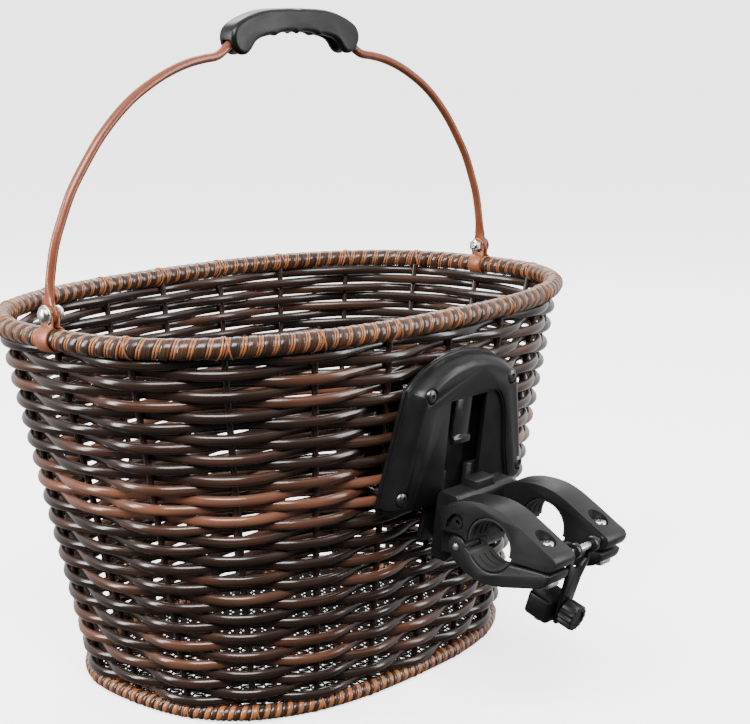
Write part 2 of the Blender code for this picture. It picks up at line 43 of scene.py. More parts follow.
# ---- dimensions, millimetres, as in the CAD ---------------------------------------------------------
FRAME_SHIFT_Y = 42.822
OVAL_POWER, BASE_POWER = 2.5, 2.6
RIM_HALF_X, RIM_HALF_Y = 177.0, 116.5
BASE_HALF_X, BASE_HALF_Y = 128.5, 91.0
RIM_TUBE_R, BASE_TUBE_R = 5.2, 4.2
BASE_Z = BASE_TUBE_R
RIM_Z = BASE_Z + 204.8
PIVOT_Z = RIM_Z + 12.3
BAIL_R, EYE_R, EYE_T, BOLT_R = 2.5, 5.2, 2.4, 2.0
GRIP_T, GROOVE_PITCH = 12.4, 17.5
BAIL_ARCH = ((177.0, 7.0), (175.6, 19.0), (172.3, 34.0), (167.0, 47.0), (160.5, 60.0), (151.5, 72.7),
             (141.0, 85.5), (129.0, 96.8), (117.0, 105.6), (103.0, 113.2), (91.0, 118.2), (79.0, 121.8),
             (68.0, 123.8), (60.0, 124.8), (55.0, 126.8), (50.0, 130.4), (44.0, 134.6), (33.0, 138.6),
             (17.0, 141.3), (0.0, 142.0))
LEAN = math.atan2(RIM_HALF_Y - BASE_HALF_Y, RIM_Z - BASE_Z)
BACK_OUT, FACE_OUT = 6.0, 18.7
HOUSING = ((0.0, 191.0), (15.0, 189.4), (28.0, 185.2), (38.0, 179.6), (43.0, 175.4), (45.6, 170.0),
           (57.6, 119.0), (58.2, 113.0), (56.4, 108.6), (52.0, 107.0), (45.0, 107.0))
FACE_LINE = ((0.0, 184.0), (13.5, 182.6), (25.0, 178.8), (33.5, 173.8), (36.6, 171.0), (38.6, 166.6),
             (50.4, 119.5), (50.9, 116.4), (50.2, 114.6), (48.6, 113.9), (44.0, 113.8))
RECESS = ((0.0, 169.0), (15.0, 168.6), (23.0, 166.4), (28.0, 161.0), (31.5, 152.0), (36.0, 129.0),
          (41.5, 110.0), (43.0, 100.0))
SCREW_SPOTS = ((-35.0, 173.0), (35.0, 173.0), (-51.0, 119.5), (51.0, 119.5))
SLOT_DEEP, LIP, TEE = (9.2, 13.8), (13.8, 16.5), (10.3, 13.3)
CLAMP_X, CLAMP_HALF = 24.0, 9.0
BORE = (63.0, 105.0)
CLAMP_TILT = math.radians(8.0)
JAW_BORE_R, SHIM_IN_R, SHIM_OUT_R = 14.6, 12.7, 14.3
KNUCKLE, KNUCKLE_R, JAW_PIN_R = (-21.6, -5.0), 6.0, 2.0
CLAMP_BOLT_A, CLAMP_BOLT_R = 29.0, 2.4
BRACE_AT = (35.5, -2.2)
BRACE_TILT = math.radians(19.0)
UPPER_JAW = ((-32.0, 15.0), (-28.5, 16.4), (-22.0, 19.4), (-14.0, 21.2), (-6.0, 21.5), (3.0, 20.4),
             (11.0, 17.6), (19.0, 13.2), (27.0, 8.4), (35.0, 3.4), (39.6, 0.6), (41.0, -2.6), (39.0, -6.2),
             (35.5, -7.4), (22.0, -6.6))
UPPER_ROOT = ((-15.4, -0.4), (-17.6, 1.5), (-21.6, 2.4), (-32.0, 2.4))
LOWER_JAW = ((-24.5, -11.6), (-19.5, -15.8), (-9.3, -20.4), (1.0, -21.6), (11.3, -20.6), (22.0, -18.7),
             (30.0, -17.4), (35.0, -14.6), (37.0, -11.2), (35.4, -8.9), (22.0, -8.1))
SIDE_POCKET = ((-28.5, 4.6), (-27.0, 9.0), (-23.0, 12.6), (-18.6, 13.0), (-16.9, 9.6), (-17.9, 5.2),
               (-22.5, 3.9), (-28.5, 4.6))
SIDE_BOSS = (20.6, 8.4)

# ---- weave -------------------------------------------------------------------------------------------
STAKES = 20                    # upright canes round the basket
SEG = 12                       # path points from one stake to the next
LOOP = STAKES * SEG
FINE = 2880                    # points on an oval before it is resampled
ROWS = 35
ROWS_PER_PIECE = 7
WINDS = 120                    # turns of cane round each rim
FIRST_ROW, LAST_ROW = 10.9, 201.2
STRAND_R, STRAND_HALF_H, STAKE_R, WAVE = 2.2, 2.88, 1.8, 3.45
DRAWN_IN = 2.0                 # canes stand this far inside the middle of the CAD wall
COPPER_ROWS = {3: 0.2, 4: 0.5, 6: 0.5, 11: 0.4, 13: 0.15, 18: 0.3, 19: 0.8, 20: 0.9, 21: 0.85,
               22: 0.4, 27: 0.15, 30: 0.3, 32: 0.2}

BASKET = Matrix.Translation((0.0, FRAME_SHIFT_Y * MM, 0.0))
WALL = (BASKET @ Matrix.Translation((0.0, -BASE_HALF_Y * MM, BASE_Z * MM))
        @ Matrix.Rotation(LEAN, 4, "X"))
CLAMP = (WALL @ Matrix.Translation((0.0, -BORE[0] * MM, BORE[1] * MM))
         @ Matrix.Rotation(-CLAMP_TILT, 4, "X"))
BRACE = (CLAMP @ Matrix.Translation((0.0, -BRACE_AT[0] * MM, BRACE_AT[1] * MM))
         @ Matrix.Rotation(BRACE_TILT, 4, "X"))


# ---- materials ---------------------------------------------------------------------------------------
def new_material(name, colour, rough, metallic=0.0, coat=0.0, coat_rough=0.1, gloss=0.5):
    mat = bpy.data.materials.new(name)
    mat.use_nodes = True
    shader = mat.node_tree.nodes["Principled BSDF"]
    shader.inputs["Base Color"].default_value = (*colour, 1.0)
    shader.inputs["Roughness"].default_value = rough
    shader.inputs["Metallic"].default_value = metallic
    shader.inputs["Coat Weight"].default_value = coat
    shader.inputs["Coat Roughness"].default_value = coat_rough
    shader.inputs["Specular IOR Level"].default_value = gloss
    return mat, mat.node_tree, shader


def noise(tree, vector, scale, detail=2.0, rough=0.5):
    node = tree.nodes.new("ShaderNodeTexNoise")
    node.inputs["Scale"].default_value = scale
    node.inputs["Detail"].default_value = detail
    node.inputs["Roughness"].default_value = rough
    tree.links.new(vector, node.inputs["Vector"])
    return node.outputs["Fac"]


def span(tree, value, low, high, to_low, to_high):
    node = tree.nodes.new("ShaderNodeMapRange")
    node.inputs["From Min"].default_value = low
    node.inputs["From Max"].default_value = high
    for socket, limit in ((node.inputs["To Min"], to_low), (node.inputs["To Max"], to_high)):
        if isinstance(limit, (int, float)):
            socket.default_value = limit
        else:
            tree.links.new(limit, socket)
    tree.links.new(value, node.inputs["Value"])
    return node.outputs["Result"]


def blend_colours(tree, factor, first, second):
    node = tree.nodes.new("ShaderNodeMix")
    node.data_type = "RGBA"
    node.clamp_factor = True
    if isinstance(factor, float):
        node.inputs["Factor"].default_value = factor
    else:
        tree.links.new(factor, node.inputs["Factor"])
    for socket, colour in ((node.inputs["A"], first), (node.inputs["B"], second)):
        if isinstance(colour, tuple):
            socket.default_value = (*colour, 1.0)
        else:
            tree.links.new(colour, socket)
    return node.outputs["Result"]


def math_node(tree, operation, first, second):
    node = tree.nodes.new("ShaderNodeMath")
    node.operation = operation
    for socket, value in zip(node.inputs, (first, second)):
        if isinstance(value, (int, float)):
            socket.default_value = value
        else:
            tree.links.new(value, socket)
    return node.outputs["Value"]


def bump(tree, shader, height, strength, distance):
    node = tree.nodes.new("ShaderNodeBump")
    node.inputs["Strength"].default_value = strength
    node.inputs["Distance"].default_value = distance
    tree.links.new(height, node.inputs["Height"])
    tree.links.new(node.outputs["Normal"], shader.inputs["Normal"])


def attribute(tree, name, output):
    node = tree.nodes.new("ShaderNodeAttribute")
    node.attribute_name = name
    return node.outputs[output]


def mapped(tree, vector, scale):
    node = tree.nodes.new("ShaderNodeMapping")
    node.inputs["Scale"].default_value = scale
    tree.links.new(vector, node.inputs["Vector"])
    return node.outputs["Vector"]


def object_coords(tree):
    return tree.nodes.new("ShaderNodeTexCoord").outputs["Object"]


def cane_material(name, dark, copper, rough, coat):
    """Extruded cane: colour runs between dark brown and copper along the strand, with lengthwise streaks."""
    mat, tree, shader = new_material(name, dark, rough, coat=coat, coat_rough=0.16, gloss=0.45)
    tint = attribute(tree, "tint", "Fac")
    grain = attribute(tree, "grain", "Vector")
    streak = noise(tree, mapped(tree, grain, (26.0, 1500.0, 1.0)), 1.0, 3.0, 0.6)
    cloud = noise(tree, mapped(tree, grain, (60.0, 160.0, 1.0)), 1.0, 2.0)
    mix = math_node(tree, "ADD", tint, span(tree, streak, 0.3, 0.7, -0.16, 0.16))
    base = blend_colours(tree, mix, dark, copper)
    shade = blend_colours(tree, span(tree, cloud, 0.35, 0.7, 0.0, 0.5), base,
                          blend_colours(tree, 0.5, base, tuple(c * 0.45 for c in dark)))
    tree.links.new(shade, shader.inputs["Base Color"])
    tree.links.new(span(tree, streak, 0.3, 0.75, rough - 0.06, rough + 0.1), shader.inputs["Roughness"])
    bump(tree, shader, streak, 0.25, 0.0002)
    return mat


def shaded(colour, factor):
    return tuple(min(1.0, c * factor) for c in colour)


def coated_steel(name, colour, rough, speck, grain_scale, strength):
    mat, tree, shader = new_material(name, colour, rough, metallic=0.2, coat=0.15, coat_rough=0.2, gloss=0.4)
    where = object_coords(tree)
    fine = noise(tree, where, grain_scale, 3.0, 0.6)
    wide = noise(tree, where, 90.0, 2.0)
    tone = blend_colours(tree, span(tree, fine, 0.52, 0.68, 0.0, speck), colour, shaded(colour, 0.3))
    tone = blend_colours(tree, span(tree, wide, 0.4, 0.7, 0.0, 0.35), tone, shaded(colour, 1.5))
    tree.links.new(tone, shader.inputs["Base Color"])
    bump(tree, shader, fine, strength, 0.0003)
    return mat


def moulded(name, colour, rough, grain_scale=2600.0, strength=0.12, lighten=1.6):
    """Moulded plastic with a fine eroded grain and slightly uneven gloss."""
    mat, tree, shader = new_material(name, colour, rough, gloss=0.28)
    where = object_coords(tree)
    fine = noise(tree, where, grain_scale, 2.0)
    wide = noise(tree, where, 70.0, 3.0)
    tone = blend_colours(tree, span(tree, wide, 0.35, 0.75, 0.0, 0.7), colour, shaded(colour, lighten))
    tree.links.new(tone, shader.inputs["Base Color"])
    tree.links.new(span(tree, wide, 0.3, 0.7, rough - 0.05, rough + 0.08), shader.inputs["Roughness"])
    bump(tree, shader, fine, strength, 0.0002)
    return mat


def bright_steel(name, colour, rough):
    mat, tree, shader = new_material(name, colour, rough, metallic=1.0)
    where = object_coords(tree)
    scratch = noise(tree, mapped(tree, where, (900.0, 900.0, 60.0)), 1.0, 3.0)
    dull = noise(tree, where, 260.0, 2.0)
    tone = blend_colours(tree, span(tree, dull, 0.4, 0.7, 0.0, 0.5), colour, shaded(colour, 0.62))
    tree.links.new(tone, shader.inputs["Base Color"])
    tree.links.new(span(tree, scratch, 0.3, 0.7, rough - 0.08, rough + 0.14), shader.inputs["Roughness"])
    bump(tree, shader, scratch, 0.08, 0.0001)
    return mat


DARK = (0.0165, 0.0092, 0.0068)
COPPER = (0.17, 0.066, 0.037)
MATS = {
    "cane": cane_material("cane", DARK, COPPER, 0.2, 0.15),
    "stake": cane_material("stake_cane", (0.015, 0.0085, 0.0062), COPPER, 0.27, 0.1),
    "wrap": cane_material("wrap_cane", (0.024, 0.0145, 0.011), (0.34, 0.122, 0.044), 0.24, 0.15),
    "wire": moulded("wire_coat", (0.014, 0.012, 0.011), 0.42),
    "copper": coated_steel("copper_rod", (0.19, 0.056, 0.026), 0.3, 0.3, 700.0, 0.06),
    "hammered": coated_steel("copper_strap", (0.26, 0.08, 0.032), 0.4, 0.7, 1100.0, 0.55),
    "zinc": bright_steel("zinc", (0.66, 0.66, 0.65), 0.26),
    # zinc painted darker for the fixing screws: painted shade of the recessed seats they sit in
    "zinc_painted_shade": bright_steel("zinc_painted_shade", (0.13, 0.128, 0.125), 0.34),
    "plastic": moulded("satin_plastic", (0.0055, 0.0055, 0.0055), 0.32),
    "adapter": moulded("adapter_plastic", (0.0085, 0.0085, 0.0087), 0.38, 2200.0, 0.2),
    "grip": moulded("grip_plastic", (0.0045, 0.0045, 0.005), 0.4, 1800.0, 0.2),
    "rubber": moulded("rubber", (0.013, 0.0125, 0.012), 0.6, 1500.0, 0.2),
    "gloss": moulded("black_gloss", (0.008, 0.008, 0.008), 0.16, 900.0, 0.02),
}


# ---- mesh helpers ------------------------------------------------------------------------------------
def link(name, mesh, material):
    obj = bpy.data.objects.new(name, mesh)
    bpy.context.scene.collection.objects.link(obj)
    if material:
        mesh.materials.append(MATS[material])
    return obj


def add_object(name, bm, matrix, material=None):
    bmesh.ops.recalc_face_normals(bm, faces=bm.faces[:])
    mesh = bpy.data.meshes.new(name)
    bm.to_mesh(mesh)
    bm.free()
    mesh.transform(matrix)
    return link(name, mesh, material)


def prism(name, points, low, high, axis, matrix, material=None):
    """Polygon in the two other axes, pushed along axis from low to high."""
    bm = bmesh.new()
    rings = []
    for level in (low, high):
        ring = []
        for u, v in points:
            spot = {"X": (level, u, v), "Y": (u, level, v), "Z": (u, v, level)}[axis]
            ring.append(bm.verts.new(Vector(spot) * MM))
        rings.append(ring)
    bm.faces.new(rings[0])
    bm.faces.new(rings[1])
    for i in range(len(points)):
        j = (i + 1) % len(points)
        bm.faces.new((rings[0][i], rings[0][j], rings[1][j], rings[1][i]))
    return add_object(name, bm, matrix, material)


def box(name, xs, ys, zs, matrix, material=None):
    points = ((ys[0], zs[0]), (ys[1], zs[0]), (ys[1], zs[1]), (ys[0], zs[1]))
    return prism(name, points, xs[0], xs[1], "X", matrix, material)


def circle(cx, cy, radius, steps, start=0.0, stop=360.0):
    full = abs(stop - start) >= 360.0
    spots = []
    for i in range(steps if full else steps + 1):
        angle = math.radians(start + (stop - start) * i / steps)
        spots.append((cx + radius * math.cos(angle), cy + radius * math.sin(angle)))
    return spots


def disc(name, centre, radius, low, high, axis, matrix, material=None, steps=40):
    return prism(name, circle(centre[0], centre[1], radius, steps), low, high, axis, matrix, material)


def turned(name, profile, matrix, material=None, steps=40):
    """Solid of revolution about local Z; profile runs from the axis round to the axis."""
    bm = bmesh.new()
    rings = []
    for radius, z in profile:
        if radius < 1e-6:
            rings.append([bm.verts.new((0.0, 0.0, z * MM))])
            continue
        ring = [bm.verts.new((radius * MM * math.cos(2 * math.pi * i / steps),
                              radius * MM * math.sin(2 * math.pi * i / steps), z * MM)) for i in range(steps)]
        rings.append(ring)
    for low, high in zip(rings, rings[1:]):
        for i in range(steps):
            j = (i + 1) % steps
            if len(low) == 1:
                bm.faces.new((low[0], high[i], high[j]))
            elif len(high) == 1:
                bm.faces.new((low[i], low[j], high[0]))
            else:
                bm.faces.new((low[i], low[j], high[j], high[i]))
    return add_object(name, bm, matrix, material)


def smooth_points(points, cuts, closed=False):
    """Catmull-Rom curve through 2-D or 3-D points, cuts pieces between each pair."""
    pts = [Vector(p) for p in points]
    count = len(pts)
    result = []
    for i in range(count if closed else count - 1):
        if closed:
            p0, p1, p2, p3 = pts[i - 1], pts[i], pts[(i + 1) % count], pts[(i + 2) % count]
        else:
            p0, p1, p2, p3 = pts[max(i - 1, 0)], pts[i], pts[i + 1], pts[min(i + 2, count - 1)]
        for k in range(cuts):
            t = k / cuts
            result.append(0.5 * ((2 * p1) + (p2 - p0) * t + (2 * p0 - 5 * p1 + 4 * p2 - p3) * t * t
                                 + (3 * p1 - p0 - 3 * p2 + p3) * t * t * t))
    if not closed:
        result.append(pts[-1])
    return result


def curve_points(points, cuts=4):
    return [(p.x, p.y) for p in smooth_points(points, cuts)]


def flip(points):
    return [(-p[0], p[1]) for p in points]


def mirrored(points):
    left = [(-p[0], p[1]) for p in reversed(points) if p[0] > 1e-6]
    return [(p[0], p[1]) for p in points] + left


def bevel(obj, width, segments=3, angle=30.0):
    mod = obj.modifiers.new("edge_round", "BEVEL")
    mod.width = width * MM
    mod.segments = segments
    mod.limit_method = "ANGLE"
    mod.angle_limit = math.radians(angle)


def combine(obj, tool, operation):
    mod = obj.modifiers.new("combine", "BOOLEAN")
    mod.operation = operation
    mod.object = tool
    mod.solver = "EXACT"
    TOOLS.append(tool)


def cut(obj, *tools):
    for tool in tools:
        combine(obj, tool, "DIFFERENCE")


def join(obj, *tools):
    for tool in tools:
        combine(obj, tool, "UNION")


TOOLS = []


def settle(obj, body, nodes=(), sharp=32.0):
    """Applies the modifiers, sets the shading, ties the piece to its body and hides the CAD nodes it
    replaces.
    """
    depsgraph = bpy.context.evaluated_depsgraph_get()
    mesh = bpy.data.meshes.new_from_object(obj.evaluated_get(depsgraph))
    material = obj.data.materials[0]
    obj.modifiers.clear()
    obj.data = mesh
    mesh.materials.clear()
    mesh.materials.append(material)
    mesh.polygons.foreach_set("use_smooth", [True] * len(mesh.polygons))
    mesh.polygons.foreach_set("material_index", [0] * len(mesh.polygons))
    mesh.set_sharp_from_angle(angle=math.radians(sharp))
    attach(obj, body)
    if nodes:
        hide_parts(*nodes)
    for tool in TOOLS:
        bpy.data.objects.remove(tool, do_unlink=True)
    TOOLS.clear()
    return obj


class Canes:
    """Gathers swept strands in one mesh, with the tint and grain that the cane material reads."""

    def __init__(self):
        self.verts, self.faces, self.tint, self.grain = [], [], [], []

    def sweep(self, path, sides_of, radii, sides, closed, tints, number):
        """path: points; sides_of: the outward direction at each; radii: (across, along) at each."""
        start = len(self.verts)
        count = len(path)
        run = 0.0
        for i, p in enumerate(path):
            if closed:
                heading = path[(i + 1) % count] - path[i - 1]
            else:
                heading = path[min(i + 1, count - 1)] - path[max(i - 1, 0)]
            heading.normalize()
            out = (sides_of[i] - heading * sides_of[i].dot(heading)).normalized()
            other = heading.cross(out)
            run += (p - path[i - 1]).length if i else 0.0
            for k in range(sides):
                angle = 2.0 * math.pi * k / sides
                offset = out * (radii[i][0] * math.cos(angle)) + other * (radii[i][1] * math.sin(angle))
                self.verts.append((p + offset) * MM)
                self.tint.append(tints[i])
                self.grain.append((run * MM, abs(angle - math.pi) * radii[i][0] * MM, number * 3.7))
        for i in range(count if closed else count - 1):
            a = start + i * sides
            b = start + ((i + 1) % count) * sides
            for k in range(sides):
                m = (k + 1) % sides
                self.faces.append((a + k, b + k, b + m, a + m))
        if not closed:
            self.faces.append(tuple(start + k for k in range(sides)))
            self.faces.append(tuple(start + (count - 1) * sides + k for k in reversed(range(sides))))

    def build(self, name, material, matrix=BASKET):
        mesh = bpy.data.meshes.new(name)
        mesh.from_pydata(self.verts, [], self.faces)
        values = mesh.attributes.new("tint", "FLOAT", "POINT")
        values.data.foreach_set("value", self.tint)
        flat = [value for spot in self.grain for value in spot]
        mesh.attributes.new("grain", "FLOAT_VECTOR", "POINT").data.foreach_set("vector", flat)
        bm = bmesh.new()
        bm.from_mesh(mesh)
        bmesh.ops.recalc_face_normals(bm, faces=bm.faces[:])
        bm.to_mesh(mesh)
        bm.free()
        mesh.transform(matrix)
        return link(name, mesh, material)


# ---- basket outlines ---------------------------------------------------------------------------------
def oval(half_x, half_y, power, count):
    """Superellipse resampled to equal steps of arc length, from +X anticlockwise."""
    fine = []
    for i in range(FINE):
        angle = 2.0 * math.pi * i / FINE
        c, s = math.cos(angle), math.sin(angle)
        fine.append(Vector((half_x * math.copysign(abs(c) ** (2.0 / power), c),
                            half_y * math.copysign(abs(s) ** (2.0 / power), s))))
    lengths = [0.0]
    for i in range(FINE):
        lengths.append(lengths[-1] + (fine[(i + 1) % FINE] - fine[i]).length)
    result = []
    k = 0
    for j in range(count):
        target = lengths[-1] * j / count
        while lengths[k + 1] < target:
            k += 1
        t = (target - lengths[k]) / (lengths[k + 1] - lengths[k])
        result.append(fine[k].lerp(fine[(k + 1) % FINE], t))
    return result


def outward(points):
    count = len(points)
    normals = []
    for i in range(count):
        d = points[(i + 1) % count] - points[i - 1]
        normals.append(Vector((d.y, -d.x)).normalized())
    return normals


LOW_LOOP = oval(BASE_HALF_X, BASE_HALF_Y, BASE_POWER, LOOP)
HIGH_LOOP = oval(RIM_HALF_X, RIM_HALF_Y, OVAL_POWER, LOOP)
LOW_OUT, HIGH_OUT = outward(LOW_LOOP), outward(HIGH_LOOP)


def wall_point(i, level):
    """Middle of the wall and its outward direction at path point i and height level."""
    f = (level - BASE_Z) / (RIM_Z - BASE_Z)
    p = LOW_LOOP[i].lerp(HIGH_LOOP[i], f)
    n = LOW_OUT[i].lerp(HIGH_OUT[i], f).normalized()
    return Vector((p.x, p.y, level)), Vector((n.x, n.y, 0.0))


def behind_housing(p):
    """1 where the wall lies under the receptacle, falling to 0 around it."""
    if p.y > 0.0:
        return 0.0
    across = min(1.0, max(0.0, (74.0 - abs(p.x)) / 12.0))
    up = min(1.0, max(0.0, (p.z - 92.0) / 10.0)) * min(1.0, max(0.0, (206.0 - p.z) / 10.0))
    return across * up


def wobble(seed, count, low, high):
    """Smooth random values, one knot per path cell, eased between knots."""
    rng = random.Random(seed)
    knots = [rng.uniform(low, high) for _ in range(count)]
    values = []
    for i in range(count * SEG):
        k, t = divmod(i, SEG)
        t = t / SEG
        t = t * t * (3.0 - 2.0 * t)
        values.append(knots[k] * (1.0 - t) + knots[(k + 1) % count] * t)
    return values


def row_tints(row):
    rng = random.Random(900 + row)
    bias = COPPER_ROWS.get(row, rng.uniform(-0.1, 0.1))
    slow = wobble(1300 + row, STAKES, 0.0, 1.0)
    swing = 0.5 if bias < 0.7 else 0.35
    return [min(1.0, max(0.0, bias + swing * (v - 0.6))) for v in slow]


def make_weave():
    pitch = (LAST_ROW - FIRST_ROW) / (ROWS - 1)
    for group in range(ROWS // ROWS_PER_PIECE):
        canes = Canes()
        for row in range(group * ROWS_PER_PIECE, (group + 1) * ROWS_PER_PIECE):
            side = 1.0 if row % 2 else -1.0
            level = FIRST_ROW + pitch * row
            lift = wobble(row, STAKES, -0.24, 0.24)
            tints = row_tints(row)
            path, outs, radii = [], [], []
            for i in range(LOOP):
                wave = math.cos(math.pi * i / SEG) * side
                p, n = wall_point(i, level + lift[i] - 0.35 * wave)
                under = behind_housing(p)
                out = WAVE * wave * (1.12 - 0.12 * wave * wave) - DRAWN_IN * (1.0 - 0.5 * under)
                path.append(p + n * out)
                outs.append(n)
                radii.append((STRAND_R, STRAND_HALF_H))
            canes.sweep(path, outs, radii, 12, True, tints, row + 1)
        weave = canes.build("weave_%d" % (group + 1), "cane")
        settle(weave, "basket", ["side_wall"] if group == 0 else [], 180.0)


def make_stakes():
    canes = Canes()
    for stake in range(STAKES):
        i = stake * SEG
        steps = 44
        path, outs, tints = [], [], []
        shade = random.Random(70 + stake).uniform(0.0, 0.16)
        for k in range(steps + 1):
            level = BASE_Z + 1.0 + (RIM_Z - 2.0 - BASE_Z) * k / steps
            p, n = wall_point(i, level)
            path.append(p - n * (DRAWN_IN * (1.0 - 0.5 * behind_housing(p))))
            outs.append(n)
            tints.append(shade)
        canes.sweep(path, outs, [(STAKE_R, STAKE_R)] * (steps + 1), 12, False, tints, 60 + stake)
    settle(canes.build("stakes", "stake"), "basket", (), 60.0)


# ---- wrapped rims ------------------------------------------------------------------------------------
# Each row of a band table: place along the turn (0 to 1), height over the core, tint.
def wrapped_ring(name, half_x, half_y, power, level, radius, turns, bands, node):
    """Cane wound round a core: the grid is sheared so that each band keeps its line all the way round."""
    per_turn = len(bands)
    count = turns * per_turn
    sides = 24
    loop = oval(half_x, half_y, power, FINE)
    outs = outward(loop)
    total = sum((loop[(i + 1) % FINE] - loop[i]).length for i in range(FINE))
    verts, faces, tint, grain = [], [], [], []
    rng = random.Random(5 + turns)
    for turn in range(turns):
        swell = rng.uniform(-0.1, 0.1)
        shift = rng.uniform(-0.03, 0.03)
        for phase, height, colour in bands:
            for k in range(sides):
                along = (turn + phase + (shift if 0.02 < phase < 0.98 else 0.0) + k / sides) / turns
                spot = (along % 1.0) * FINE
                a = int(spot) % FINE
                t = spot - int(spot)
                p = loop[a].lerp(loop[(a + 1) % FINE], t)
                n = outs[a].lerp(outs[(a + 1) % FINE], t)
                angle = 2.0 * math.pi * k / sides - math.pi / 2.0
                r = radius + height * (1.0 + swell)
                verts.append(Vector((p.x + n.x * r * math.cos(angle), p.y + n.y * r * math.cos(angle),
                                     level + r * math.sin(angle))) * MM)
                tint.append(colour + swell * 0.6)
                grain.append((k * radius * 0.26 * MM, phase * total / turns * MM, turn * 1.3))
    for i in range(count):
        j = (i + 1) % count
        for k in range(sides):
            if k + 1 < sides:
                faces.append((i * sides + k, j * sides + k, j * sides + k + 1, i * sides + k + 1))
            else:
                ai = (i + per_turn) % count
                aj = (j + per_turn) % count
                faces.append((i * sides + k, j * sides + k, aj * sides, ai * sides))
    canes = Canes()
    canes.verts, canes.faces, canes.tint, canes.grain = verts, faces, tint, grain
    settle(canes.build(name, "wrap"), "basket", [node], 60.0)


TOP_BANDS = ((0.00, -0.35, 0.0), (0.025, 0.12, 0.03), (0.11, 0.30, 0.05), (0.30, 0.40, 0.06),
             (0.52, 0.30, 0.05), (0.615, 0.12, 0.03), (0.64, -0.35, 0.1), (0.66, 0.14, 0.9),
             (0.71, 0.22, 1.0), (0.76, 0.14, 0.9), (0.785, -0.30, 0.1), (0.82, -0.30, 0.1),
             (0.845, 0.14, 0.9), (0.90, 0.22, 1.0), (0.955, 0.14, 0.9))
LOW_BANDS = ((0.00, -0.35, 0.0), (0.03, 0.10, 0.03), (0.14, 0.32, 0.04), (0.27, 0.34, 0.05),
             (0.39, 0.26, 0.04), (0.46, 0.05, 0.05), (0.49, -0.35, 0.1), (0.52, 0.08, 0.85),
             (0.63, 0.28, 0.95), (0.75, 0.34, 1.0), (0.87, 0.28, 0.95), (0.97, 0.08, 0.85))


def make_ties():
    """At each stake two thin copper straps cross over the rim and spread as they go down."""
    canes = Canes()
    number = 0
    for loop, outs, level, core, reach in ((HIGH_LOOP, HIGH_OUT, RIM_Z, RIM_TUBE_R + 0.45, 3.6),
                                           (LOW_LOOP, LOW_OUT, BASE_Z, BASE_TUBE_R - 0.1, 2.8)):
        for stake in range(STAKES):
            i = stake * SEG
            if level == RIM_Z and stake in (0, STAKES // 2):
                continue
            along = (loop[(i + 1) % LOOP] - loop[i - 1]).normalized()
            n = outs[i]
            for side in (-1.0, 1.0):
                path, dirs = [], []
                for k in range(33):
                    angle = math.radians(262.0 - 344.0 * k / 32)
                    spread = abs(angle - math.pi / 2.0) / math.radians(172.0)
                    run = side * (0.55 + reach * spread ** 1.6)
                    face = Vector((n.x * math.cos(angle), n.y * math.cos(angle), math.sin(angle)))
                    middle = Vector((loop[i].x + along.x * run, loop[i].y + along.y * run, level))
                    path.append(middle + face * core)
                    dirs.append(face)
                number += 1
                tone = 0.92 + 0.08 * math.sin(number * 2.1)
                canes.sweep(path, dirs, [(0.36, 0.5)] * 33, 8, False, [tone] * 33, 100 + number)
    settle(canes.build("rim_ties", "wrap"), "basket", (), 60.0)


# ---- floor -------------------------------------------------------------------------------------------
def make_floor():
    """Woven wire panel inside the base rim."""
    pitch, radius, level = 4.6, 0.62, 4.2
    half_x = BASE_HALF_X - BASE_TUBE_R
    half_y = BASE_HALF_Y - BASE_TUBE_R
    canes = Canes()
    up = Vector((0.0, 0.0, 1.0))
    for axis, half, other in ((0, half_x, half_y), (1, half_y, half_x)):
        lines = int(half / pitch)
        for line in range(-lines, lines + 1):
            at = line * pitch
            reach = other * max(0.0, 1.0 - (abs(at) / half) ** BASE_POWER) ** (1.0 / BASE_POWER)
            crossings = int(reach / pitch)
            if crossings < 1:
                continue
            spots = [-reach] + [j * pitch / 2.0 for j in range(-2 * crossings, 2 * crossings + 1)] + [reach]
            path = []
            for s in spots:
                bend = math.cos(math.pi * (s / pitch + line)) * (1.0 if axis else -1.0)
                bend = bend if abs(s) < reach else 0.0
                height = level + radius * bend
                path.append(Vector((at, s, height)) if axis == 0 else Vector((s, at, height)))
            if (path[1] - path[0]).length < 0.3:
                path = path[1:-1]
            canes.sweep(path, [up] * len(path), [(radius, radius)] * len(path), 6, False,
                        [0.0] * len(path), line)
    settle(canes.build("wire_floor", "wire"), "basket", ["floor_panel"], 180.0)


# ---- bail --------------------------------------------------------------------------------------------
def make_bail():
    half = [Vector((x, 0.0, PIVOT_Z + h)) for x, h in BAIL_ARCH]
    other = [Vector((-p.x, p.y, p.z)) for p in reversed(half[:-1])]
    path = smooth_points(half + other, 6)
    canes = Canes()
    radii = []
    for p in path:
        near = max(0.0, 1.0 - (p.z - PIVOT_Z - 7.0) / 13.0) ** 1.5
        radii.append((BAIL_R - (BAIL_R - EYE_T / 2.0) * near, BAIL_R + 1.5 * near))
    dirs = []
    for i, p in enumerate(path):
        d = path[min(i + 1, len(path) - 1)] - path[max(i - 1, 0)]
        dirs.append(Vector((-d.z, 0.0, d.x)).normalized())
    canes.sweep(path, dirs, radii, 20, False, [0.0] * len(path), 1)
    rod = canes.build("bail_hoop", "copper")
    for side, tag in ((-1.0, "left"), (1.0, "right")):
        x0 = side * RIM_HALF_X - EYE_T / 2.0
        x1 = side * RIM_HALF_X + EYE_T / 2.0
        root = [(2.9, PIVOT_Z + 8.6), (-2.9, PIVOT_Z + 8.6)]
        outline = circle(0.0, PIVOT_Z, EYE_R, 40, 140.0, 400.0) + root
        eye = prism("eye", outline, x0, x1, "X", BASKET)
        bevel(eye, 0.5, 2, 50.0)
        join(rod, eye)
        cut(rod, disc("eye_hole", (0.0, PIVOT_Z), BOLT_R + 0.35, x0 - 2, x1 + 2, "X", BASKET))
    settle(rod, "bail", ["bail_rod"], 40.0)


